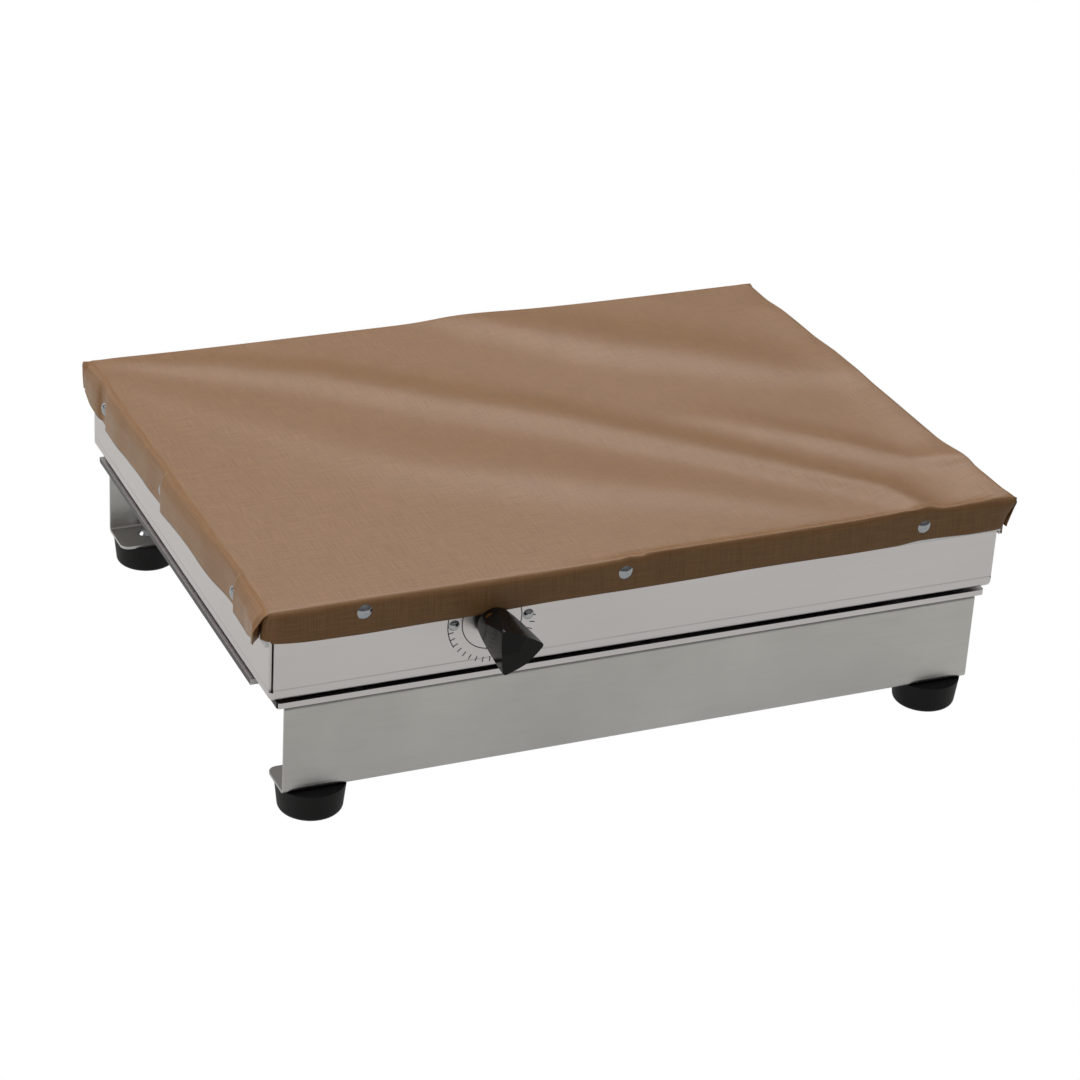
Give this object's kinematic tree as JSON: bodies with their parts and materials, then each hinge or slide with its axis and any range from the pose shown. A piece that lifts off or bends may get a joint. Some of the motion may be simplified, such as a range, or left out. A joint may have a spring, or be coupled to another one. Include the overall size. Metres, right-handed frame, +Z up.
{
  "type": "bench hot plate",
  "caption": "Low electric bench hot plate: brown coated cloth riveted over a flat heated plate, folded metal tray with a black knob in front, open base of folded rails on rubber feet.",
  "frame": {"origin": "on the surface the feet stand on, below the middle of the width and halfway along the depth from the knob's end to the cable gland's end", "axes": "+Z up, +X to the right as seen from the knob's side, +Y towards the back; the knob points along -Y"},
  "size_m": [0.411, 0.3528, 0.1199],
  "materials": {
    "tray_sheet": "rolled sheet with fine brushed grain along its length",
    "base_sheet": "rolled sheet with fine brushed grain",
    "rail_sheet": "fine brushed grain along its length",
    "plate_aluminium": "matt as milled",
    "coated_cloth": "satin fluoropolymer coating over a fine plain weave",
    "plated_steel": "bright zinc plate",
    "foot_rubber": "semi-matt moulded",
    "thermostat_housing": "plated",
    "bright_steel": "turned and bright",
    "knob_plastic": "high gloss",
    "screw_brass": "turned",
    "element_sheath": "heat-tinted",
    "insulator_ceramic": "matt fired",
    "clamp_steel": "plated strip",
    "insulation_fibre": "pressed mineral fibre",
    "bulb_copper": "drawn copper",
    "block_plastic": "moulded",
    "terminal_brass": "turned",
    "gland_plastic": "moulded",
    "seal_rubber": "moulded"
  },
  "bodies": {
    "housing": {"base_plate": "base_sheet", "base_spacers": "plated_steel", "bulb_clip": "clamp_steel", "clamp_nuts": "plated_steel", "clamp_studs": "plated_steel", "cover_cloth": "coated_cloth", "cover_rivets": "plated_steel", "dial_screws": "plated_steel", "earth_nuts": "terminal_brass", "earth_stud": "terminal_brass", "element_clamp_left": "clamp_steel", "element_clamp_middle": "clamp_steel", "element_clamp_right": "clamp_steel", "element_end_insulators": "insulator_ceramic", "element_terminals": "bright_steel", "foot_front_left": "foot_rubber", "foot_front_right": "foot_rubber", "foot_nuts": "plated_steel", "foot_rear_left": "foot_rubber", "foot_rear_right": "foot_rubber", "foot_screws": "plated_steel", "foot_washers": "plated_steel", "front_rail": "rail_sheet", "gland_body": "gland_plastic", "gland_dome_nut": "gland_plastic", "gland_locknut": "gland_plastic", "gland_seal": "seal_rubber", "heating_element": "element_sheath", "heating_plate": "plate_aluminium", "insulation_board": "insulation_fibre", "rail_nuts": "plated_steel", "rail_screws": "plated_steel", "rear_rail": "rail_sheet", "sensing_bulb": "bulb_copper", "terminal_block": "block_plastic", "terminal_block_screws": "plated_steel", "thermostat_body": "thermostat_housing", "tray_housing": "tray_sheet"},
    "control": {"control_knob": "knob_plastic", "knob_grub_screw": "screw_brass", "thermostat_spindle": "bright_steel"}
  },
  "joints": [
    {"name": "knob_turn", "type": "hinge", "parent": "housing", "child": "control", "pos_m": [-0.086, -0.14159, 0.097], "axis": [0, 1, 0], "range_deg": [0, 290]}
  ]
}
